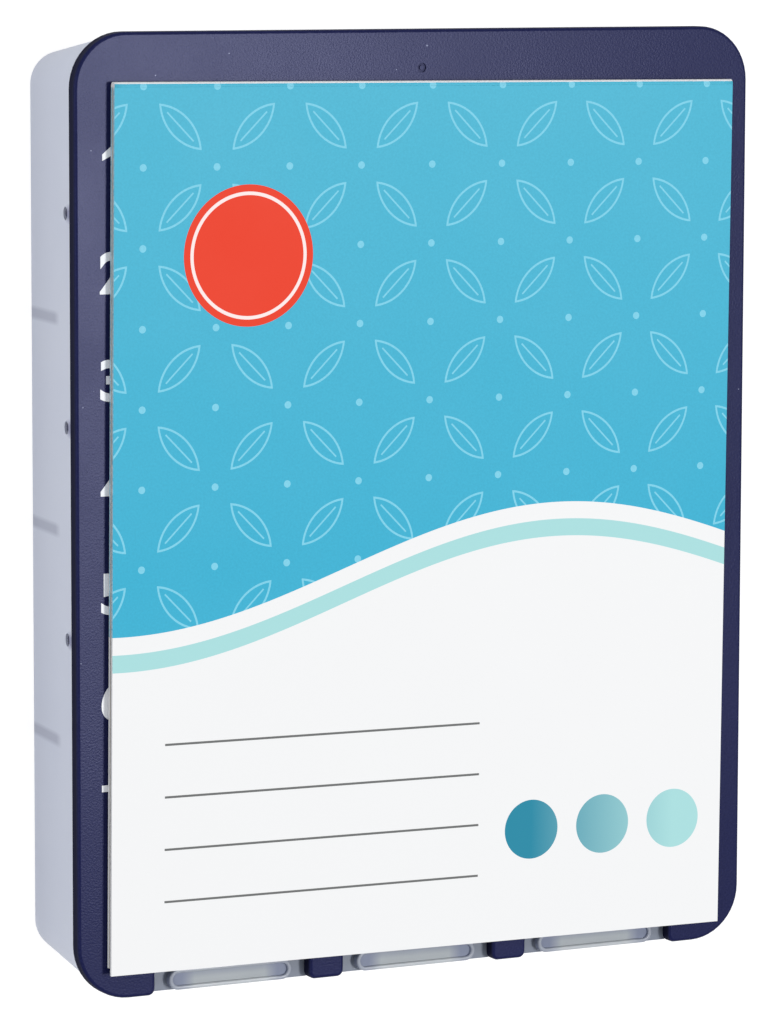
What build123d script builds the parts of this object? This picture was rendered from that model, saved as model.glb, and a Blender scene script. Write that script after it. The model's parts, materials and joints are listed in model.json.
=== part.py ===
from build123d import *
import os

# Pill organizer: a see-through tray of wells under a navy frame, with one sliding cover to a column
# of wells and a folded card stuck on the face. Millimetres. It lies on its back: +Z points out of
# the face, +Y to the top edge and +X to the right. The origin is the middle of the back.

# Wells
COLUMNS = 3
ROWS = 7
WELL_WIDTH = 20.8
WELL_LENGTH = 10.8
WELL_DEPTH = 14.1
WELL_CORNER = 2.4
WELL_FLOOR_ROUND = 1.4
COLUMN_WALL = 3.0
ROW_WALL = 1.2
BLOCK_WALL = 1.2

# Tray
TRAY_FLOOR = 1.2
OUTER_WALL = 1.2
RIM_INSET = 0.35
BACK_SIDE_INSET = 1.75
BACK_END_INSET = 2.4
BACK_ROUND = 1.5
RIB_THICKNESS = 1.0
RIB_HEIGHT = 9.8

# Frame
SIDE_MARGIN = 8.8
TOP_BAND = 8.8
TAB_ROOM = 17.4
FRAME_THICKNESS = 1.5
FRAME_CORNER = 6.3
FRAME_EDGE_ROUND = 0.4
BAR_END_ROUND = 0.8
WINDOW_CORNER = 1.5
WINDOW_TOP_GAP = 0.2
WEB_WIDTH = 1.0
RAIL_WIDTH = 1.0
RAIL_GAP = 0.1
GATE_MARK_DIAMETER = 1.1
GATE_MARK_PIN = 0.5
GATE_MARK_DEPTH = 0.15
GATE_MARK_FROM_TOP = 4.4

# Snap legs of the frame, and pegs under its bars
LEG_WIDTH = 6.0
LEG_THICKNESS = 1.0
LEG_BELOW_PIP = 2.0
LEG_GAP = 0.12
PIP_DIAMETER = 1.3
PIP_DROP = 2.6
PIP_SUNK = 0.2
PIP_ROUND = 0.3
PEG_DIAMETER = 1.4
PEG_LENGTH = 4.0
PEG_FROM_BAR_END = 8.5
HOLE_GAP = 0.1

# Covers
COVER_THICKNESS = 1.3
COVER_GAP = 0.2
COVER_LAP = 1.1
COVER_TOP_LAP = 1.5
COVER_TAB_SHORT = 0.1
COVER_TAB_CORNER = 1.0
EAR_REACH = 0.4
EAR_LENGTH = 3.0
STOP_GAP = 0.4
TRAVEL_PAST_WELLS = 1.5
GRIP_WIDTH = 15.4
GRIP_LENGTH = 2.4
GRIP_RIM = 0.5
GRIP_HEIGHT = 1.1
GRIP_FROM_END = 0.1
GRIP_DISH_DEPTH = 0.35
GRIP_EDGE_ROUND = 0.2

# Card, and the glue dots under it
CARD_WIDTH = 79.0
CARD_LENGTH = 100.5
CARD_BACK_SHORT = 0.8
CARD_THICKNESS = 0.35
CARD_PLY_GAP = 0.3
CARD_FROM_TOP = 5.85
CARD_FROM_MIDDLE = 0.85
CARD_TURN = -0.5
FOLD_GAP = 0.1
GLUE_DIAMETER = 3.4
GLUE_THICKNESS = 0.18
GLUE_SEAT_GAP = 0.02

# Length by which a cutting form runs past the face that it cuts
CUT = 1.0

# Plan of the case, from the wells outwards
column_pitch = WELL_WIDTH + COLUMN_WALL
row_pitch = WELL_LENGTH + ROW_WALL
wells_width = COLUMNS * column_pitch - COLUMN_WALL
wells_length = ROWS * row_pitch - ROW_WALL
case_width = wells_width + 2 * SIDE_MARGIN
case_length = TOP_BAND + wells_length + TAB_ROOM
top_y = case_length / 2
bottom_y = -case_length / 2
wells_top = top_y - TOP_BAND
wells_bottom = wells_top - wells_length
column_xs = [(i - (COLUMNS - 1) / 2) * column_pitch for i in range(COLUMNS)]
row_ys = [wells_top - WELL_LENGTH / 2 - j * row_pitch for j in range(ROWS)]
row_wall_ys = [y - row_pitch / 2 for y in row_ys[:-1]]
bar_xs = [x + column_pitch / 2 for x in column_xs[:-1]]

# Heights, from the back to the face
wall_top = TRAY_FLOOR + WELL_DEPTH
rail_low = wall_top + RAIL_GAP
cover_low = wall_top + COVER_GAP
cover_high = cover_low + COVER_THICKNESS
rim_z = cover_high + COVER_GAP
face_z = rim_z + FRAME_THICKNESS
pip_z = rim_z - PIP_DROP

# Covers and the grooves that they run in
groove_half = (column_pitch - WEB_WIDTH) / 2
ear_half = groove_half - COVER_GAP
cover_half = ear_half - EAR_REACH
stop_half = cover_half + COVER_GAP
window_width = 2 * (cover_half - COVER_LAP)
window_top = wells_top + WINDOW_TOP_GAP
cover_top = window_top + COVER_TOP_LAP
cover_bottom = bottom_y + COVER_TAB_SHORT
travel = cover_top - wells_bottom + TRAVEL_PAST_WELLS
stop_top = cover_top - EAR_LENGTH - travel - STOP_GAP
rail_x = column_xs[-1] + groove_half
bar_end = bottom_y + BAR_END_ROUND

# Row walls take turns: a snap leg beside one, a rib and a peg beside the next
leg_ys = row_wall_ys[0::2]
rib_ys = row_wall_ys[1::2]
peg_ys = rib_ys + [bar_end + PEG_FROM_BAR_END]

# Card
back_leaf_z = face_z + GLUE_SEAT_GAP + GLUE_THICKNESS
front_leaf_z = back_leaf_z + CARD_THICKNESS + CARD_PLY_GAP
fold_radius = CARD_THICKNESS + CARD_PLY_GAP / 2
fold_y = top_y - CARD_FROM_TOP - fold_radius


def slab(x_low, x_high, y_low, y_high, z_low, z_high):
    """Plain block between two corners."""
    middle = Pos((x_low + x_high) / 2, (y_low + y_high) / 2, (z_low + z_high) / 2)
    return middle * Box(x_high - x_low, y_high - y_low, z_high - z_low)


def tray_step(z, back_inset):
    """How far a wall of the tray stands in from the frame's outline at a height."""
    return RIM_INSET + back_inset * (rim_z - z) / rim_z


def tray_form(inset, z_low, z_high):
    """The tray's tapered outer form, moved in by an inset, between two heights."""
    sections = []
    for z in (z_low, z_high):
        side = tray_step(z, BACK_SIDE_INSET) + inset
        end = tray_step(z, BACK_END_INSET) + inset
        outline = RectangleRounded(case_width - 2 * side, case_length - 2 * end, FRAME_CORNER - end)
        sections.append(Pos(0, 0, z) * outline)
    return loft(sections, ruled=True)


def make_well():
    """The hollow of one well, its mouth open past the wall tops."""
    half_x = WELL_WIDTH / 2
    half_y = WELL_LENGTH / 2
    hollow = slab(-half_x, half_x, -half_y, half_y, TRAY_FLOOR, wall_top + CUT)
    hollow = fillet(hollow.edges().filter_by(Axis.Z), WELL_CORNER)
    return fillet(hollow.edges().group_by(Axis.Z)[0], WELL_FLOOR_ROUND)


def make_tray():
    """Outer wall, floor, block of wells, ribs beside the block and holes for the frame's snaps."""
    outer = tray_form(0, 0, rim_z)
    outer = fillet(outer.edges().group_by(Axis.Z)[0], BACK_ROUND)
    cavity = tray_form(OUTER_WALL, TRAY_FLOOR, rim_z + CUT)

    # The block and what joins it to the outer wall start inside the floor
    low = TRAY_FLOOR / 2
    block_half = wells_width / 2 + BLOCK_WALL
    block_bottom = wells_bottom - ROW_WALL
    inside = slab(-block_half, block_half, block_bottom, wells_top + BLOCK_WALL, low, wall_top)
    wall_spans = [(x - COLUMN_WALL / 2, x + COLUMN_WALL / 2) for x in bar_xs]
    wall_spans += [(-block_half, -wells_width / 2), (wells_width / 2, block_half)]
    for x_low, x_high in wall_spans:
        inside += slab(x_low, x_high, bottom_y, wells_bottom, low, wall_top)
    half_rib = RIB_THICKNESS / 2
    half_case = case_width / 2
    for y in rib_ys:
        inside += slab(-half_case, half_case, y - half_rib, y + half_rib, low, TRAY_FLOOR + RIB_HEIGHT)
    tray = (outer - cavity) + (inside & outer)

    well = make_well()
    tray -= [Pos(x, y, 0) * well for x in column_xs for y in row_ys]

    # The bottom wall is low enough for the covers to run out over it
    passage = rail_x + RAIL_WIDTH + COVER_GAP
    tray -= slab(-passage, passage, bottom_y - CUT, block_bottom, wall_top, rim_z + CUT)

    snap_hole = Cylinder(PIP_DIAMETER / 2 + HOLE_GAP, OUTER_WALL + 2 * CUT, rotation=(0, 90, 0))
    hole_x = half_case - tray_step(pip_z, BACK_SIDE_INSET) - OUTER_WALL / 2
    tray -= [Pos(x, y, pip_z) * snap_hole for x in (-hole_x, hole_x) for y in leg_ys]

    peg_depth = PEG_LENGTH - RAIL_GAP + HOLE_GAP
    peg_hole = Cylinder(PEG_DIAMETER / 2 + HOLE_GAP, 2 * peg_depth)
    tray -= [Pos(x, y, wall_top) * peg_hole for x in bar_xs for y in peg_ys]
    return tray


def make_face_plate():
    """The frame's plate: its windows run out at the bottom edge and leave bars between them."""
    outline = RectangleRounded(case_width, case_length, FRAME_CORNER)
    window_length = window_top - bottom_y + 2 * WINDOW_CORNER
    window = RectangleRounded(window_width, window_length, WINDOW_CORNER)
    for x in column_xs:
        outline -= Pos(x, window_top - window_length / 2) * window
    bar_corners = [v for v in outline.vertices().group_by(Axis.Y)[0] if abs(v.X) < rail_x]
    outline = fillet(bar_corners, BAR_END_ROUND)
    plate = extrude(Pos(0, 0, rim_z) * outline, FRAME_THICKNESS)
    return fillet(plate.faces().sort_by(Axis.Z)[-1].edges(), FRAME_EDGE_ROUND)


def make_snap_leg():
    """Right-hand leg at y = 0, with a round pip that clicks into the tray's wall."""
    leg_low = pip_z - LEG_BELOW_PIP
    leg_x = case_width / 2 - tray_step(leg_low, BACK_SIDE_INSET) - OUTER_WALL - LEG_GAP
    leg = slab(leg_x - LEG_THICKNESS, leg_x, -LEG_WIDTH / 2, LEG_WIDTH / 2, leg_low, rim_z)
    pip_start = leg_x - LEG_THICKNESS / 2
    pip_end = case_width / 2 - tray_step(pip_z, BACK_SIDE_INSET) - PIP_SUNK
    pip = Cylinder(PIP_DIAMETER / 2, pip_end - pip_start, rotation=(0, 90, 0))
    pip = Pos((pip_start + pip_end) / 2, 0, pip_z) * pip
    pip = fillet(pip.faces().sort_by(Axis.X)[-1].edges(), PIP_ROUND)
    return leg + pip


def make_frame():
    """Face plate with the rails, webs, stops, pegs and snap legs moulded under it."""
    frame = make_face_plate()
    rib_y = cover_top + COVER_GAP
    rail_end = rail_x + RAIL_WIDTH
    frame += slab(-rail_end, rail_end, rib_y, rib_y + RAIL_WIDTH, rail_low, rim_z)

    # The grooves narrow near their lower ends, which stops the covers' ears
    stop_reach = groove_half - stop_half
    half_web = WEB_WIDTH / 2
    half_stop = half_web + stop_reach
    for x in bar_xs:
        frame += slab(x - half_web, x + half_web, bar_end, rib_y, rail_low, rim_z)
        frame += slab(x - half_stop, x + half_stop, bar_end, stop_top, rail_low, rim_z)
        peg = Cylinder(PEG_DIAMETER / 2, PEG_LENGTH)
        frame += [Pos(x, y, rail_low - PEG_LENGTH / 2) * peg for y in peg_ys]
    rail = slab(rail_x, rail_end, bar_end, rib_y, rail_low, rim_z)
    rail += slab(rail_x - stop_reach, rail_x, bar_end, stop_top, rail_low, rim_z)
    frame += [rail, mirror(rail, Plane.YZ)]

    leg = make_snap_leg()
    for y in leg_ys:
        placed = Pos(0, y, 0) * leg
        frame += [placed, mirror(placed, Plane.YZ)]

    mark = Circle(GATE_MARK_DIAMETER / 2) - Circle(GATE_MARK_PIN / 2)
    mark_place = Pos(0, top_y - GATE_MARK_FROM_TOP, face_z - GATE_MARK_DEPTH)
    return frame - extrude(mark_place * mark, GATE_MARK_DEPTH + CUT)


def make_cover():
    """One sliding cover, on the middle line: a flat lid with ears, and a raised, dished grip at its tab."""
    tongue = Pos(0, (cover_top + cover_bottom) / 2) * Rectangle(2 * cover_half, cover_top - cover_bottom)
    tongue = fillet(tongue.vertices().group_by(Axis.Y)[0], COVER_TAB_CORNER)
    tongue += Pos(0, cover_top - EAR_LENGTH / 2) * Rectangle(2 * ear_half, EAR_LENGTH)
    lid = extrude(Pos(0, 0, cover_low) * tongue, COVER_THICKNESS)

    grip_y = cover_bottom + GRIP_FROM_END + GRIP_LENGTH / 2
    grip = extrude(Pos(0, grip_y, cover_high) * SlotOverall(GRIP_WIDTH, GRIP_LENGTH), GRIP_HEIGHT)
    dish = SlotOverall(GRIP_WIDTH - 2 * GRIP_RIM, GRIP_LENGTH - 2 * GRIP_RIM)
    dish_z = cover_high + GRIP_HEIGHT - GRIP_DISH_DEPTH
    grip -= extrude(Pos(0, grip_y, dish_z) * dish, GRIP_DISH_DEPTH + CUT)
    grip = fillet(grip.faces().sort_by(Axis.Z)[-1].edges(), GRIP_EDGE_ROUND)
    return lid + grip


def make_leaf(length, z_low):
    """One leaf of the card, from the crease towards the bottom edge, a little askew on the face."""
    reach = length - fold_radius
    leaf = Pos(0, -(reach + FOLD_GAP) / 2, 0) * Box(CARD_WIDTH, reach - FOLD_GAP, CARD_THICKNESS)
    fold = Pos(CARD_FROM_MIDDLE, fold_y, z_low + CARD_THICKNESS / 2)
    return fold * Rot(0, 0, CARD_TURN) * leaf


def make_glue_dots():
    """Flat dots on the frame's bars, under the card."""
    dot = Cylinder(GLUE_DIAMETER / 2, GLUE_THICKNESS)
    dot_z = face_z + GLUE_SEAT_GAP + GLUE_THICKNESS / 2
    return Compound([Pos(x, y, dot_z) * dot for x in bar_xs for y in (leg_ys[0], leg_ys[-1])])


nodes = {
    "tray": make_tray(),
    "front_frame": make_frame(),
    "leaflet_back": make_leaf(CARD_LENGTH - CARD_BACK_SHORT, back_leaf_z),
    "leaflet_front": make_leaf(CARD_LENGTH, front_leaf_z),
    "glue_dots": make_glue_dots(),
}
cover = make_cover()
for side, x in zip(("left", "middle", "right"), column_xs):
    nodes["slider_" + side] = Pos(x, 0, 0) * cover

os.makedirs("parts", exist_ok=True)
for name, shape in nodes.items():
    export_step(shape, "parts/" + name + ".step")

print("case", case_width, "x", case_length, "x", face_z)
print("cover travel", travel, "fold at y", fold_y, "z", front_leaf_z - CARD_PLY_GAP / 2)
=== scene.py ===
import json
import math

import bmesh
import bpy
from mathutils import Matrix, Vector


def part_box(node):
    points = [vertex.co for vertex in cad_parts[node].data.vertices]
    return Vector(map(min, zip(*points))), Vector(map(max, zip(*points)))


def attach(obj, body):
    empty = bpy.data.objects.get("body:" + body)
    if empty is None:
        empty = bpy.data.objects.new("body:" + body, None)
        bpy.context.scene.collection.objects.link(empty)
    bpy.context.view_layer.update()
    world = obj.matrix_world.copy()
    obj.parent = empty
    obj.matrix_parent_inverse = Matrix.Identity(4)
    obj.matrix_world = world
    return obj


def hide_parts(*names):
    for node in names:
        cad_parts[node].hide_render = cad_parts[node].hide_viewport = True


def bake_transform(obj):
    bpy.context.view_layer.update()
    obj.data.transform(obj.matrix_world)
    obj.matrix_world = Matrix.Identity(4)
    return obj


# Pill organizer lying on its back: +Z out of the face, +Y to the top edge. Metres. The mouldings are
# the frame's own solids with a finish. The card, its fold and the printed numerals are made here.

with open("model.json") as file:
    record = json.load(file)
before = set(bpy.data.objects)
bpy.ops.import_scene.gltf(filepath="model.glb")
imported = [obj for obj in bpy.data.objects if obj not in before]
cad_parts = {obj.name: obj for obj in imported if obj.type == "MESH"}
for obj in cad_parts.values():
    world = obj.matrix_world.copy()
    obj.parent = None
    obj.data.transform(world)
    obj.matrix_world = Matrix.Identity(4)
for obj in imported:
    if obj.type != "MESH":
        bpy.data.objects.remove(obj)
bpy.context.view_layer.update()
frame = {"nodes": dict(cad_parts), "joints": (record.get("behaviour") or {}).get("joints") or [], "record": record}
nodes = frame["nodes"]
joints = {joint["name"]: joint for joint in frame["joints"]}
openings = {space["name"]: space["box_m"] for space in frame["record"]["physics"]["openings"]}

MM = 0.001

# Card, in its own plane: across it from the middle, and down it from the crease
CARD_WIDTH = 79.0 * MM
FRONT_REACH = 100.0 * MM
BACK_REACH = 99.2 * MM
CREASE_GAP = 0.1 * MM
CORNER_LIFT = 0.1 * MM
CRACK_ANGLE = math.radians(36.0)

# Print on the card, in millimetres: its coloured field ends below in a wave
WAVE_LEVEL = -55.0
WAVE_HEIGHT = 6.5
WAVE_LENGTH = 112.0
WAVE_SHIFT = 0.6
TEAL = "#4fb7d0"
DEEP_TEAL = "#38b0ce"
PALE_TEAL = "#a9dcd9"
BOARD_WHITE = "#f3f3f1"

# Numerals down the left margin
NUMERAL_HEIGHT = 4.7 * MM
NUMERAL_LEFT = -40.02 * MM
ONE_INDENT = 0.36 * MM
NUMERAL_DROP = 0.5 * MM
NUMERAL_BOLDER = 0.03
INK_THICKNESS = 0.03 * MM

# Camera, as turns of the object before a camera that looks straight at it
FOCAL_PIXELS = 5002.5
PICTURE_HEIGHT = 1024
SENSOR = 36.0
YAW = 26.565
PITCH = 6.882
ROLL = -0.146
CAMERA_DISTANCE = 576.35 * MM
FACE_ASIDE = 3.613 * MM
FACE_ABOVE = 0.931 * MM
CLIP_START = 10.0 * MM

face_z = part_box("front_frame")[1].z
tray_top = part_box("tray")[1].z
crease = Vector(joints["leaflet_fold"]["pos_m"])
across = -Vector(joints["leaflet_fold"]["axis"]).normalized()
card_turn = math.atan2(across.y, across.x)
card_place = Matrix.Translation((crease.x, crease.y, 0)) @ Matrix.Rotation(card_turn, 4, "Z")
front_low, front_high = (corner.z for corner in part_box("leaflet_front"))
back_low, back_high = (corner.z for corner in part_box("leaflet_back"))
card_thickness = front_high - front_low
crease_z = (front_low + back_high) / 2


# Helpers

def linear(colour):
    """An sRGB hex colour as the linear colour that a shader takes."""
    parts = [int(colour[i:i + 2], 16) / 255 for i in (1, 3, 5)]
    return [c / 12.92 if c <= 0.04045 else ((c + 0.055) / 1.055) ** 2.4 for c in parts] + [1.0]


def add(tree, kind, inputs=None, **settings):
    """Adds a node. An input is a value, a socket, or a node whose first live output is linked."""
    node = tree.nodes.new(kind)
    for name, value in settings.items():
        setattr(node, name, value)
    for key, value in (inputs or {}).items():
        if isinstance(value, bpy.types.Node):
            value = next(socket for socket in value.outputs if socket.enabled)
        if isinstance(value, bpy.types.NodeSocket):
            tree.links.new(value, node.inputs[key])
        else:
            node.inputs[key].default_value = value
    return node


def maths(tree, operation, *values):
    """Arithmetic on up to three numbers."""
    return add(tree, "ShaderNodeMath", dict(enumerate(values)), operation=operation)


def vectors(tree, operation, *values):
    """Arithmetic on one or two vectors."""
    return add(tree, "ShaderNodeVectorMath", dict(enumerate(values)), operation=operation)


def ramp(tree, value, start, stop, first=0.0, last=1.0):
    """A number that goes from first to last while the value goes from start to stop."""
    return add(tree, "ShaderNodeMapRange", {"Value": value, "From Min": start, "From Max": stop,
                                            "To Min": first, "To Max": last})


def mix(tree, share, first, second, **settings):
    """Two colours, hex or sockets, mixed by the second one's share."""
    first, second = (linear(c) if isinstance(c, str) else c for c in (first, second))
    return add(tree, "ShaderNodeMix", {0: share, 6: first, 7: second}, data_type="RGBA", **settings)


def noise(tree, place, size, detail):
    """Noise whose lumps have a real size."""
    texture = add(tree, "ShaderNodeTexNoise", {"Vector": place, "Scale": 1 / size, "Detail": detail})
    return texture.outputs["Fac"]


def bump(tree, height, strength, depth):
    """A surface roughened by a height, at most as deep as the depth."""
    return add(tree, "ShaderNodeBump", {"Height": height, "Strength": strength, "Distance": depth})


def new_material(name):
    """An empty node material, its tree, and where a point lies on the object."""
    material = bpy.data.materials.new(name)
    material.use_nodes = True
    tree = material.node_tree
    tree.nodes.clear()
    return material, tree, add(tree, "ShaderNodeTexCoord").outputs["Object"]


def finish_material(tree, values, **settings):
    """Ends a material in one Principled surface."""
    surface = add(tree, "ShaderNodeBsdfPrincipled", values, **settings)
    add(tree, "ShaderNodeOutputMaterial", {"Surface": surface})


def new_piece(name, mesh, materials):
    """An object at the origin for a finished mesh."""
    piece = bpy.data.objects.new(name, mesh)
    bpy.context.scene.collection.objects.link(piece)
    for material in materials:
        mesh.materials.append(material)
    return piece


def new_mesh(name, shape):
    """A mesh from a finished bmesh, which is freed."""
    mesh = bpy.data.meshes.new(name)
    shape.to_mesh(mesh)
    shape.free()
    return mesh


def wall_below(row):
    """Where the wall below a row of wells stands along the case."""
    return (openings[f"well_left_{row}"][0][1] + openings[f"well_left_{row + 1}"][1][1]) / 2


# Materials

def navy_abs():
    """ABS from a finely etched tool: deep navy and satin, with a fine grain and a few specks of dust."""
    grain_size = 0.22 * MM
    grain_depth = 0.03 * MM
    cloud_size = 16.0 * MM
    cloud_span = (0.3, 0.7)
    face_rough = (0.22, 0.27)
    wall_rough = 0.8
    wall_top = face_z - 0.1 * MM
    wall_fade = 0.35 * MM
    speck_spacing = 3.4 * MM
    speck_radius = 0.1 * MM
    material, tree, place = new_material("navy_abs_etched_moulding")
    grain = noise(tree, place, grain_size, detail=3.0)
    cloud = noise(tree, place, cloud_size, detail=4.0)
    cells = add(tree, "ShaderNodeTexVoronoi", {"Vector": place, "Scale": 1 / speck_spacing})
    speck = maths(tree, "LESS_THAN", cells, speck_radius / speck_spacing)
    colour = mix(tree, speck, mix(tree, grain, "#101337", "#262a53"), "#8a8fa6")

    # The wall under the rounded rim is etched coarser, and its colour is darkened there as painted shade
    z = add(tree, "ShaderNodeSeparateXYZ", {0: place}).outputs["Z"]
    under = ramp(tree, z, wall_top - wall_fade, wall_top, 1.0, 0.0)
    outside = maths(tree, "GREATER_THAN", z, tray_top)
    wall = maths(tree, "MULTIPLY", under, outside)
    colour = mix(tree, wall, colour, "#10122a")
    rough = ramp(tree, cloud, *cloud_span, *face_rough)
    rough = add(tree, "ShaderNodeMix", {0: wall, 2: rough, 3: wall_rough})
    finish_material(tree, {
        "Base Color": colour, "Roughness": rough, "IOR": 1.46, "Specular IOR Level": 0.135,
        "Specular Tint": linear("#d4d8ff"), "Normal": bump(tree, grain, 0.42, grain_depth),
    }, distribution="GGX")
    return material


def frosted_polypropylene():
    """Polypropylene, natural and frosted: milky, faintly blue, with painted shade where its ribs and the frame's
    snap legs show through.
    """
    frost_size = 0.3 * MM
    frost_depth = 0.02 * MM
    cloud_size = 14.0 * MM
    wall_x = 39.5 * MM
    rib_core = 0.35 * MM
    rib_blur = 0.9 * MM
    rib_top = 11.0 * MM
    rib_fade = 1.0 * MM
    rib_share = 0.55
    snap_drop = 1.35 * MM
    snap_core = 0.35 * MM
    snap_blur = 1.2 * MM
    snap_share = 0.75
    snap_squash = (0, 1, 0.6)
    material, tree, place = new_material("frosted_polypropylene_moulding")
    frost = noise(tree, place, frost_size, detail=2.0)
    cloud = noise(tree, place, cloud_size, detail=3.0)
    colour = mix(tree, cloud, "#d5dbea", "#dee3ef")

    # A rib stands behind the side walls at every second wall between rows, and shows through as painted shade
    x, y, z = add(tree, "ShaderNodeSeparateXYZ", {0: place}).outputs
    shade = 0.0
    for row in (2, 4, 6):
        away = maths(tree, "ABSOLUTE", maths(tree, "SUBTRACT", y, wall_below(row)))
        shade = maths(tree, "MAXIMUM", shade, ramp(tree, away, rib_core, rib_blur, 1.0, 0.0))
    at_wall = maths(tree, "GREATER_THAN", maths(tree, "ABSOLUTE", x), wall_x)
    below = ramp(tree, z, rib_top - rib_fade, rib_top + rib_fade, rib_share, 0.0)
    shade = maths(tree, "MULTIPLY", maths(tree, "MULTIPLY", shade, at_wall), below)
    colour = mix(tree, shade, colour, "#8b90a6")

    # The frame's snap legs stand behind the other walls between rows, and by the rim a blue painted shade stands
    # for their navy showing through
    snap_painted_shade = 0.0
    for row in (1, 3, 5):
        moved = vectors(tree, "SUBTRACT", place, (0, wall_below(row), tray_top - snap_drop))
        squashed = vectors(tree, "MULTIPLY", moved, snap_squash)
        away = vectors(tree, "LENGTH", squashed).outputs["Value"]
        snap_painted_shade = maths(tree, "MAXIMUM", snap_painted_shade, ramp(tree, away, snap_core, snap_blur, snap_share, 0.0))
    snap_painted_shade = maths(tree, "MULTIPLY", snap_painted_shade, at_wall)
    colour = mix(tree, snap_painted_shade, colour, "#5d6291")
    finish_material(tree, {
        "Base Color": colour, "Roughness": 0.5, "IOR": 1.49, "Transmission Weight": 0.14,
        "Normal": bump(tree, frost, 0.2, frost_depth),
    })
    return material


def clear_polypropylene():
    """Clarified polypropylene: grey-blue over the dark inside, milky where the grip is thick; painted highlight
    and shade.
    """
    ripple_size = 5.0 * MM
    ripple_depth = 0.05 * MM
    ripple_rough = (0.14, 0.26)
    grip_height = 1.1 * MM
    grip_fade = 0.3 * MM
    grip_length = 2.4 * MM
    grip_milk = 0.35
    streak_half = 4.4 * MM
    streak_fade = 1.6 * MM
    highlight_streak_share = 0.55
    streak_upper = 0.3
    lip_height = 0.3 * MM
    lip_share = 0.45
    tab_reach = 3.4 * MM
    tab_fade = 0.8 * MM
    tab_shade_share = 0.8
    transmission = (0.52, 0.12)
    cover_low, cover_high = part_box("slider_middle")
    grip_z = cover_high.z - grip_height
    column_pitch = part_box("slider_right")[0].x - cover_low.x
    material, tree, place = new_material("clarified_polypropylene_moulding")
    x, y, z = add(tree, "ShaderNodeSeparateXYZ", {0: place}).outputs
    ripple = noise(tree, place, ripple_size, detail=2.0)

    # Milkiness faint all over the grip, and a painted highlight: a pale, less clear streak along the lower half of
    # its middle
    grip = ramp(tree, z, grip_z, grip_z + grip_fade)
    aside = maths(tree, "PINGPONG", x, column_pitch / 2)
    middle = ramp(tree, aside, streak_half, streak_half + streak_fade, 1.0, 0.0)
    low = ramp(tree, y, cover_low.y + grip_length / 2, cover_low.y + grip_length, 1.0, streak_upper)
    painted_highlight_streak = maths(tree, "MULTIPLY", middle, low)
    milk_and_highlight = maths(tree, "MULTIPLY_ADD", painted_highlight_streak, highlight_streak_share, grip_milk)
    milk_and_highlight = maths(tree, "MULTIPLY", milk_and_highlight, grip)
    # The top of the grip's lip is lightened as a painted highlight
    lip = ramp(tree, z, cover_high.z - lip_height, cover_high.z, 0.0, lip_share)
    grip_colour = mix(tree, lip, mix(tree, painted_highlight_streak, "#98a1b9", "#b5bbbe"), "#dde1e3")
    colour = mix(tree, grip, "#c6ccd6", grip_colour)

    # The tab is darkened with painted shade as far as it reaches out of the case
    tab = ramp(tree, y, cover_low.y + tab_reach, cover_low.y + tab_reach + tab_fade, tab_shade_share, 0.0)
    tab = maths(tree, "MULTIPLY", tab, maths(tree, "SUBTRACT", 1.0, grip))
    colour = mix(tree, tab, colour, "#7c8493")
    clear = ramp(tree, maths(tree, "MAXIMUM", milk_and_highlight, tab), 0.0, 1.0, *transmission)
    finish_material(tree, {
        "Base Color": colour, "Roughness": ramp(tree, ripple, 0.0, 1.0, *ripple_rough), "IOR": 1.49,
        "Specular IOR Level": 0.22, "Transmission Weight": clear,
        "Normal": bump(tree, ripple, 0.1, ripple_depth),
    })
    return material


def card_stock():
    """Solid bleached board: warm white, matt, with a soft fibre where it is cut or folded."""
    fibre_size = 0.35 * MM
    fibre_depth = 0.02 * MM
    material, tree, place = new_material("bleached_card_stock")
    fibre = noise(tree, place, fibre_size, detail=4.0)
    finish_material(tree, {
        "Base Color": mix(tree, fibre, BOARD_WHITE, "#fcfcfa"), "Roughness": 0.7,
        "Normal": bump(tree, fibre, 0.3, fibre_depth),
    })
    return material


def inner_page():
    """The board's uncoated side, inside the fold: a duller, warmer white with a soft fleck."""
    fleck_size = 0.5 * MM
    fleck_depth = 0.02 * MM
    cloud_size = 18.0 * MM
    cloud_rough = (0.75, 0.9)
    material, tree, place = new_material("uncoated_card_inside")
    fleck = noise(tree, place, fleck_size, detail=4.0)
    cloud = noise(tree, place, cloud_size, detail=2.0)
    finish_material(tree, {
        "Base Color": mix(tree, fleck, "#d9d6cd", "#e6e4dc"),
        "Roughness": ramp(tree, cloud, 0.0, 1.0, *cloud_rough), "Specular IOR Level": 0.3,
        "Normal": bump(tree, fleck, 0.25, fleck_depth),
    })
    return material


def card_millimetres(tree, place):
    """Where a point lies on the card: millimetres across from its middle, and up from the crease."""
    card = add(tree, "ShaderNodeMapping", {"Vector": place, "Location": (crease.x, crease.y, 0),
                                           "Rotation": (0, 0, card_turn), "Scale": (MM, MM, MM)},
               vector_type="TEXTURE")
    x, y, _ = add(tree, "ShaderNodeSeparateXYZ", {0: card}).outputs
    return x, y


def above_wave(tree, x, y):
    """How far a point of the card lies above the wave that ends the coloured field."""
    phase = maths(tree, "MULTIPLY_ADD", x, 2 * math.pi / WAVE_LENGTH, WAVE_SHIFT)
    wave = maths(tree, "MULTIPLY_ADD", maths(tree, "SINE", phase), WAVE_HEIGHT, WAVE_LEVEL)
    return maths(tree, "SUBTRACT", y, wave)


def cut_edge():
    """Bleached board at a guillotined edge: white and furry, with ink drawn over from the face."""
    fibre_size = 0.35 * MM
    ink_strength = 1.1
    material, tree, place = new_material("guillotined_card_edge")
    x, y = card_millimetres(tree, place)
    field = maths(tree, "GREATER_THAN", above_wave(tree, x, y), 0.0)
    fibre = noise(tree, place, fibre_size, detail=4.0)
    drawn = maths(tree, "MULTIPLY", fibre, ink_strength)
    inked = maths(tree, "MULTIPLY", drawn, field)
    finish_material(tree, {"Base Color": mix(tree, inked, BOARD_WHITE, DEEP_TEAL), "Roughness": 0.75})
    return material


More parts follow.
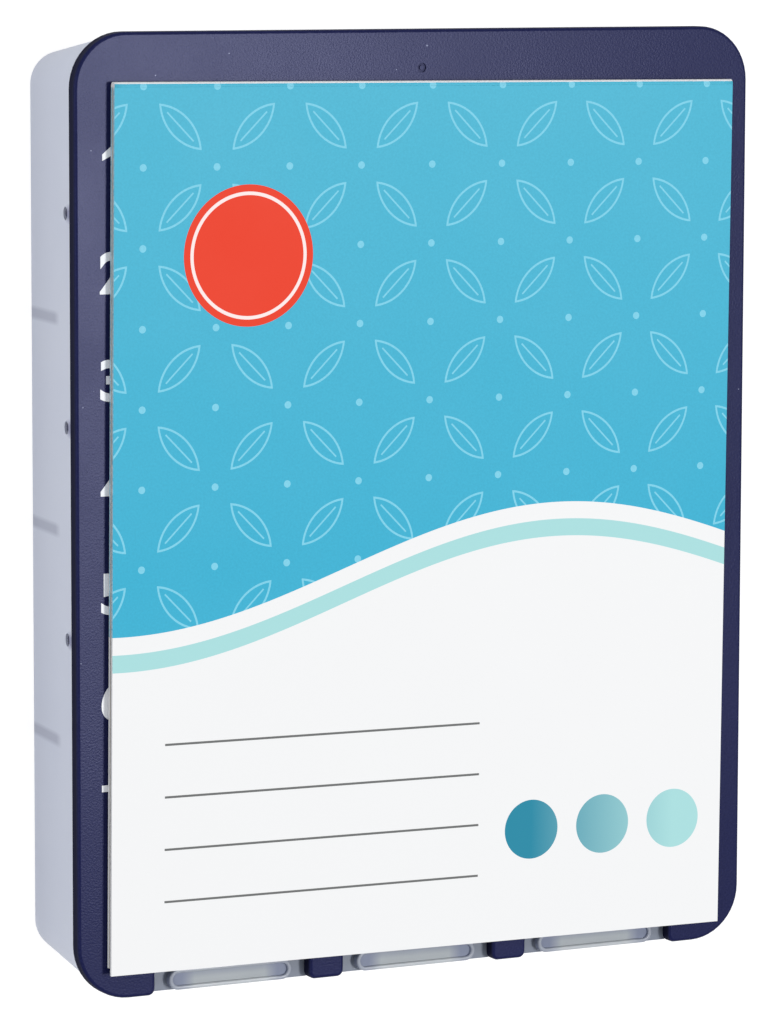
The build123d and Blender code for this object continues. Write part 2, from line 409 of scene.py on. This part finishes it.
def leaf_motif(tree, x, y):
    """Thin outlined leaves, turned about in a chequer, with a dot at each corner: 1 on a line."""
    cell = 9.0
    half_length = 3.5
    half_width = 1.25
    half_line = 0.12
    rib_half_line = 0.096
    rib_reach = 2.3
    dot_radius = 0.42
    radius = (half_length ** 2 + half_width ** 2) / (2 * half_width)
    diagonal = math.sqrt(0.5)
    mirrored = [maths(tree, "PINGPONG", v, cell) for v in (x, y)]
    local = [maths(tree, "SUBTRACT", v, cell / 2) for v in mirrored]
    along = maths(tree, "MULTIPLY", maths(tree, "ADD", *local), diagonal)
    aside = maths(tree, "MULTIPLY", maths(tree, "SUBTRACT", *local), diagonal)

    # Two arcs of a large circle make the outline, and a straight line its rib
    shifted = maths(tree, "ADD", maths(tree, "ABSOLUTE", aside), radius - half_width)
    arm = add(tree, "ShaderNodeCombineXYZ", {"X": along, "Y": shifted})
    reach = vectors(tree, "LENGTH", arm).outputs["Value"]
    outline = maths(tree, "COMPARE", reach, radius, half_line)
    in_rib = maths(tree, "COMPARE", aside, 0.0, rib_half_line)
    rib_span = maths(tree, "COMPARE", along, 0.0, rib_reach)
    rib = maths(tree, "MULTIPLY", in_rib, rib_span)
    leaf = maths(tree, "MAXIMUM", outline, rib)

    edges = [maths(tree, "ABSOLUTE", v) for v in local]
    corner = add(tree, "ShaderNodeCombineXYZ", {"X": edges[0], "Y": edges[1]})
    away = vectors(tree, "DISTANCE", corner, (cell / 2, cell / 2, 0)).outputs["Value"]
    return maths(tree, "MAXIMUM", leaf, maths(tree, "LESS_THAN", away, dot_radius))


def ruled_lines(tree, x, y):
    """A block of ruled lines: 1 on a line."""
    first = -92.0
    spacing = 6.0
    count = 4
    middle = -13.0
    half_width = 20.0
    half_line = 0.13
    margin = 1.0
    half_height = spacing * (count - 1) / 2
    up = maths(tree, "SUBTRACT", y, first)
    on_line = maths(tree, "LESS_THAN", maths(tree, "PINGPONG", up, spacing / 2), half_line)
    in_height = maths(tree, "COMPARE", up, half_height, half_height + margin)
    in_width = maths(tree, "COMPARE", x, middle, half_width)
    return maths(tree, "MULTIPLY", on_line, maths(tree, "MULTIPLY", in_height, in_width))


def spot_row(tree, x, y):
    """A row of three spots: 1 on a spot, and how far along the row a point lies."""
    first = 14.0
    spacing = 9.5
    level = -87.0
    radius = 3.5
    along = maths(tree, "SUBTRACT", x, first)
    aside = maths(tree, "PINGPONG", along, spacing / 2)
    arm = add(tree, "ShaderNodeCombineXYZ", {"X": aside, "Y": maths(tree, "SUBTRACT", y, level)})
    on_spot = maths(tree, "LESS_THAN", vectors(tree, "LENGTH", arm).outputs["Value"], radius)
    in_row = maths(tree, "COMPARE", along, spacing, 1.5 * spacing)
    return maths(tree, "MULTIPLY", on_spot, in_row), ramp(tree, along, 0.0, 2 * spacing)


def printed_card():
    """Offset print on coated board: a fine screen in the ink, and a soft gloss over ink and white alike."""
    screen_size = 0.25 * MM
    screen_depth = 0.01 * MM
    screen_span = (0.3, 0.7)
    screen_tone = (0.95, 1.03)
    mottle_size = 12.0 * MM
    mottle_rough = (0.5, 0.62)
    band_drop = 3.0
    band_half = 1.0
    disc_place = (-23.0, -19.0, 0)
    disc_radius = 8.0
    ring_radius = 7.0
    ring_half = 0.2
    material, tree, place = new_material("offset_print_on_coated_card")
    x, y = card_millimetres(tree, place)
    screen = noise(tree, place, screen_size, detail=2.0)
    mottle = noise(tree, place, mottle_size, detail=3.0)

    # The coloured field, with a pale band along its wave
    above = above_wave(tree, x, y)
    field = maths(tree, "GREATER_THAN", above, 0.0)
    band = maths(tree, "COMPARE", above, -band_drop, band_half)
    teal = mix(tree, ramp(tree, y, 0.0, WAVE_LEVEL), TEAL, DEEP_TEAL)
    lined = mix(tree, leaf_motif(tree, x, y), teal, "#7fd0e4")
    tone = ramp(tree, screen, *screen_span, *screen_tone)
    lined = mix(tree, 1.0, lined, tone, blend_type="MULTIPLY")
    ink = mix(tree, field, "#f2f2ef", lined)
    ink = mix(tree, band, ink, PALE_TEAL)

    # A plain disc with a thin ring in it
    flat = add(tree, "ShaderNodeCombineXYZ", {"X": x, "Y": y})
    away = vectors(tree, "DISTANCE", flat, disc_place).outputs["Value"]
    ink = mix(tree, maths(tree, "LESS_THAN", away, disc_radius), ink, "#ea3d20")
    ink = mix(tree, maths(tree, "COMPARE", away, ring_radius, ring_half), ink, "#fbe9e4")

    # Ruled lines, and a row of spots beside them
    ink = mix(tree, ruled_lines(tree, x, y), ink, "#6d6e6c")
    spots, along = spot_row(tree, x, y)
    ink = mix(tree, spots, ink, mix(tree, along, "#1c87a0", PALE_TEAL))
    finish_material(tree, {
        "Base Color": ink, "Roughness": ramp(tree, mottle, 0.0, 1.0, *mottle_rough),
        "Specular IOR Level": 0.18, "Normal": bump(tree, screen, 0.08, screen_depth),
    })
    return material


def white_ink():
    """Pad-printed ink: a thin opaque white film that leaves the grain under it showing faintly."""
    grain_size = 0.22 * MM
    material, tree, place = new_material("white_pad_print_ink")
    grain = noise(tree, place, grain_size, detail=3.0)
    finish_material(tree, {"Base Color": mix(tree, grain, "#eceef1", "#fafbfb"), "Roughness": 0.5})
    return material


def clear_glue():
    """Rubbery pressure-sensitive glue: a clear, faintly yellow gum with a wet gloss."""
    lump_size = 0.8 * MM
    lump_depth = 0.05 * MM
    material, tree, place = new_material("clear_rubber_glue")
    lump = noise(tree, place, lump_size, detail=2.0)
    finish_material(tree, {
        "Base Color": mix(tree, lump, "#e2ddc8", "#ece8d8"), "Roughness": 0.12, "IOR": 1.48,
        "Transmission Weight": 0.6, "Normal": bump(tree, lump, 0.4, lump_depth),
    })
    return material


def pale_floor():
    """A white studio sweep that shows as the picture's ground and still takes the shadow."""
    material, tree, _ = new_material("white_studio_sweep")
    path = add(tree, "ShaderNodeLightPath").outputs
    seen = maths(tree, "MAXIMUM", path["Is Camera Ray"], path["Is Glossy Ray"])
    seen = maths(tree, "MAXIMUM", seen, path["Is Transmission Ray"])
    bounced = add(tree, "ShaderNodeBsdfDiffuse", {"Color": linear("#e6e6e6")})
    shaded = add(tree, "ShaderNodeBsdfDiffuse", {"Color": linear("#8c8c8c")})
    glow = add(tree, "ShaderNodeEmission", {"Color": linear("#ffffff"), "Strength": 0.88})
    shown = add(tree, "ShaderNodeAddShader", {0: shaded, 1: glow})
    surface = add(tree, "ShaderNodeMixShader", {0: seen, 1: bounced, 2: shown})
    add(tree, "ShaderNodeOutputMaterial", {"Surface": surface})
    return material


# Card

def card_leaf(name, node, top, reach, lift, materials):
    """A leaf of the card: printed or plain in front, plain behind, and cut at its edges."""
    columns = 32
    rows = 40
    sheet = bmesh.new()
    grid = []
    for row in range(rows + 1):
        down = CREASE_GAP + (reach - CREASE_GAP) * row / rows
        line = []
        for column in range(columns + 1):
            aside = CARD_WIDTH * (column / columns - 0.5)
            rise = lift * (down / reach) ** 2 * (1 - column / columns)
            line.append(sheet.verts.new(card_place @ Vector((aside, -down, top + rise))))
        grid.append(line)
    for upper, lower in zip(grid, grid[1:]):
        for left, right, below_right, below_left in zip(upper, upper[1:], lower[1:], lower):
            sheet.faces.new((left, below_left, below_right, right))
    leaf = new_piece(name, new_mesh(name, sheet), materials)
    wall = leaf.modifiers.new("board", "SOLIDIFY")
    wall.thickness = card_thickness
    wall.offset = -1.0
    wall.material_offset = 1
    wall.material_offset_rim = 2
    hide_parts(node)
    return leaf


def fold_strip(materials):
    """The card's fold: a half round from leaf to leaf, its print cracked white where it bends most."""
    steps = 16
    columns = 60
    outer_radius = front_high - crease_z
    inner_radius = front_low - crease_z
    angles = [math.pi * step / steps for step in range(steps + 1)]
    profile = [(-CREASE_GAP, front_high)]
    profile += [(outer_radius * math.sin(a), crease_z + outer_radius * math.cos(a)) for a in angles]
    profile += [(-CREASE_GAP, back_low), (-CREASE_GAP, back_high)]
    profile += [(inner_radius * math.sin(a), crease_z + inner_radius * math.cos(a))
                for a in reversed(angles)]
    profile += [(-CREASE_GAP, front_low)]
    cracked_from = math.ceil(CRACK_ANGLE / math.pi * steps)
    strip = bmesh.new()
    rings = []
    for column in range(columns + 1):
        aside = CARD_WIDTH * (column / columns - 0.5)
        rings.append([strip.verts.new(card_place @ Vector((aside, up, z))) for up, z in profile])
    for ring, following in zip(rings, rings[1:]):
        for index in range(len(profile)):
            after = (index + 1) % len(profile)
            face = strip.faces.new((ring[index], ring[after], following[after], following[index]))
            face.material_index = 0 if index < cracked_from else 1
            face.smooth = True
    for ring in (rings[0], list(reversed(rings[-1]))):
        for index in range(len(profile) // 2 - 1):
            opposite = len(profile) - 1 - index
            face = strip.faces.new((ring[index], ring[opposite], ring[opposite - 1], ring[index + 1]))
            face.material_index = 1
    bmesh.ops.recalc_face_normals(strip, faces=strip.faces)
    return new_piece("card_fold", new_mesh("card_fold", strip), materials)


def fibre_tree(stock):
    """Geometry nodes: short paper fibres strewn along a line, each turned and sized by chance."""
    least_turn = (0, 0, -1.2)
    most_turn = (0.4, 0.4, 1.2)
    least_size = (0.5, 0.3, 0.2)
    most_size = (2.6, 0.8, 0.4)
    tree = bpy.data.node_groups.new("paper_fibres", "GeometryNodeTree")
    tree.is_modifier = True
    kinds = {"Start": "NodeSocketVector", "End": "NodeSocketVector", "Count": "NodeSocketInt",
             "Spread": "NodeSocketVector", "Radius": "NodeSocketFloat", "Seed": "NodeSocketInt"}
    for name, kind in kinds.items():
        tree.interface.new_socket(name, in_out="INPUT", socket_type=kind)
    tree.interface.new_socket("Geometry", in_out="OUTPUT", socket_type="NodeSocketGeometry")
    given = add(tree, "NodeGroupInput").outputs

    def chance(least, most):
        return add(tree, "FunctionNodeRandomValue", {"Min": least, "Max": most, "Seed": given["Seed"]},
                   data_type="FLOAT_VECTOR")

    line = add(tree, "GeometryNodeCurvePrimitiveLine", {"Start": given["Start"], "End": given["End"]})
    points = add(tree, "GeometryNodeCurveToPoints", {"Curve": line, "Count": given["Count"]})
    back = vectors(tree, "MULTIPLY", given["Spread"], (-1, -1, -1))
    drift = chance(back, given["Spread"])
    strewn = add(tree, "GeometryNodeSetPosition", {"Geometry": points, "Offset": drift})
    fibre = add(tree, "GeometryNodeMeshIcoSphere", {"Radius": given["Radius"], "Subdivisions": 1})
    placed = add(tree, "GeometryNodeInstanceOnPoints", {
        "Points": strewn, "Instance": fibre, "Rotation": chance(least_turn, most_turn),
        "Scale": chance(least_size, most_size)})
    real = add(tree, "GeometryNodeRealizeInstances", {"Geometry": placed})
    coated = add(tree, "GeometryNodeSetMaterial", {"Geometry": real, "Material": stock})
    add(tree, "NodeGroupOutput", {"Geometry": coated})
    return tree


def fold_fibres(stock):
    """Paper fibres that stand out of the cracked print along the fold."""
    across_spread = 0.3 * MM
    fold_spread = 0.07 * MM
    lift_spread = 0.02 * MM
    radius = front_high - crease_z
    fold_y = radius * math.sin(CRACK_ANGLE)
    fold_z = crease_z + radius * math.cos(CRACK_ANGLE)
    half = CARD_WIDTH / 2 - across_spread
    values = {"Start": card_place @ Vector((-half, fold_y, fold_z)),
              "End": card_place @ Vector((half, fold_y, fold_z)), "Count": 260,
              "Spread": (across_spread, fold_spread, lift_spread), "Radius": 0.055 * MM, "Seed": 7}
    tree = fibre_tree(stock)
    carrier = new_piece("fold_fibres_carrier", bpy.data.meshes.new("fold_fibres_carrier"), [])
    strewing = carrier.modifiers.new("fibres", "NODES")
    strewing.node_group = tree
    for item in tree.interface.items_tree:
        if item.in_out == "INPUT":
            strewing[item.identifier] = values[item.name]
    shown = carrier.evaluated_get(bpy.context.evaluated_depsgraph_get())
    mesh = bpy.data.meshes.new_from_object(shown)
    bpy.data.objects.remove(carrier)
    return new_piece("fold_fibres", mesh, [])


# Numerals

def numeral_curve(character):
    """A numeral's outline. Two are drawn here: the one with a flag, and the seven with its foot well in."""
    outlines = {
        "1": [(0, 0.6), (0.3, 0.75), (0.3, 0), (0.48, 0), (0.48, 1), (0.3, 1), (0, 0.75)],
        "7": [(0, 0.84), (0.44, 0.84), (0.24, 0), (0.44, 0), (0.64, 0.86), (0.64, 1), (0, 1)],
    }
    if character not in outlines:
        curve = bpy.data.curves.new("numeral", "FONT")
        curve.body = character
        curve.offset = NUMERAL_BOLDER
        return curve
    outline = outlines[character]
    curve = bpy.data.curves.new("numeral", "CURVE")
    curve.dimensions = "2D"
    curve.fill_mode = "BOTH"
    spline = curve.splines.new("POLY")
    spline.points.add(len(outline) - 1)
    spline.use_cyclic_u = True
    for point, (x, y) in zip(spline.points, outline):
        point.co = (x, y, 0, 1)
    return curve


def numeral_mesh(character):
    """A numeral as a thin slab of ink, its lower left corner at the origin."""
    curve = numeral_curve(character)
    curve.extrude = INK_THICKNESS / 2
    drawn = bpy.data.objects.new("numeral", curve)
    bpy.context.scene.collection.objects.link(drawn)
    shown = drawn.evaluated_get(bpy.context.evaluated_depsgraph_get())
    mesh = bpy.data.meshes.new_from_object(shown)
    bpy.data.objects.remove(drawn)
    low = Vector([min(v.co[i] for v in mesh.vertices) for i in range(3)])
    high = Vector([max(v.co[i] for v in mesh.vertices) for i in range(3)])
    size = NUMERAL_HEIGHT / (high.y - low.y)
    mesh.transform(Matrix.Diagonal((size, size, 1, 1)) @ Matrix.Translation(-low))
    return mesh


def row_numerals(ink):
    """A numeral beside each row of wells, printed on the frame's left margin."""
    joined = bmesh.new()
    row = 1
    while f"well_left_{row}" in openings:
        low, high = openings[f"well_left_{row}"]
        x = NUMERAL_LEFT + (ONE_INDENT if row == 1 else 0)
        y = (low[1] + high[1]) / 2 - NUMERAL_DROP - NUMERAL_HEIGHT / 2
        mesh = numeral_mesh(str(row))
        mesh.transform(Matrix.Translation((x, y, face_z)))
        joined.from_mesh(mesh)
        bpy.data.meshes.remove(mesh)
        row += 1
    return new_piece("row_numerals", new_mesh("row_numerals", joined), [ink])


# Studio

def make_camera():
    """The camera that sees the face as the photograph does."""
    turn = (Matrix.Rotation(math.radians(ROLL), 3, "Z") @ Matrix.Rotation(math.radians(PITCH), 3, "X")
            @ Matrix.Rotation(math.radians(YAW), 3, "Y"))
    back = turn.transposed()
    data = bpy.data.cameras.new("camera")
    data.sensor_width = SENSOR
    data.lens = FOCAL_PIXELS / PICTURE_HEIGHT * SENSOR
    data.clip_start = CLIP_START
    camera = bpy.data.objects.new("camera", data)
    place = Vector((0, 0, face_z)) - back @ Vector((FACE_ASIDE, FACE_ABOVE, -CAMERA_DISTANCE))
    camera.matrix_world = Matrix.Translation(place) @ back.to_4x4()
    bpy.context.scene.collection.objects.link(camera)
    bpy.context.scene.camera = camera


def softbox(name, toward, distance, size, power):
    """A soft lamp that looks at the middle of the face, its second side along the case."""
    data = bpy.data.lights.new(name, "AREA")
    data.shape = "RECTANGLE"
    data.size, data.size_y = size
    data.energy = power
    lamp = bpy.data.objects.new(name, data)
    direction = Vector(toward).normalized()
    aside = Vector((0, 1, 0)).cross(direction).normalized()
    turn = Matrix((aside, direction.cross(aside), direction)).transposed().to_4x4()
    lamp.matrix_world = Matrix.Translation(Vector((0, 0, face_z)) + direction * distance) @ turn
    bpy.context.scene.collection.objects.link(lamp)


def make_studio():
    """White floor, even surrounding light and two softboxes."""
    floor_half = 3.0
    floor = bmesh.new()
    bmesh.ops.create_grid(floor, x_segments=1, y_segments=1, size=floor_half)
    new_piece("floor", new_mesh("floor", floor), [pale_floor()])

    world = bpy.data.worlds.new("studio")
    world.use_nodes = True
    tree = world.node_tree
    tree.nodes.clear()
    path = add(tree, "ShaderNodeLightPath").outputs
    around = add(tree, "ShaderNodeBackground", {"Color": linear("#f4f6ff"), "Strength": 0.5})
    seen = add(tree, "ShaderNodeBackground", {"Color": linear("#ffffff"), "Strength": 1.0})
    mixed = add(tree, "ShaderNodeMixShader", {0: path["Is Camera Ray"], 1: around, 2: seen})
    add(tree, "ShaderNodeOutputWorld", {"Surface": mixed})
    bpy.context.scene.world = world

    softbox("softbox_above", toward=(0.36, -0.01, 0.93), distance=1.4, size=(0.25, 0.44), power=10.4)
    softbox("softbox_left", toward=(-0.9, 0.1, 0.45), distance=0.7, size=(0.4, 0.5), power=1.0)


navy = navy_abs()
frosted = frosted_polypropylene()
clear = clear_polypropylene()
print_front = printed_card()
stock = card_stock()
page = inner_page()
edge = cut_edge()

for node, material in (("tray", frosted), ("front_frame", navy), ("slider_left", clear),
                       ("slider_middle", clear), ("slider_right", clear), ("glue_dots", clear_glue())):
    nodes[node].data.materials.clear()
    nodes[node].data.materials.append(material)

front_leaf = card_leaf("card_front_leaf", "leaflet_front", front_high, FRONT_REACH, CORNER_LIFT,
                       [print_front, page, edge])
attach(front_leaf, "leaflet_cover")
back_leaf = card_leaf("card_back_leaf", "leaflet_back", back_high, BACK_REACH, 0.0, [page, stock, edge])
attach(back_leaf, "leaflet")
for piece in (fold_strip([print_front, stock]), fold_fibres(stock)):
    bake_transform(piece)
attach(row_numerals(white_ink()), "case")

make_camera()
make_studio()
bpy.context.scene.view_settings.view_transform = "Standard"
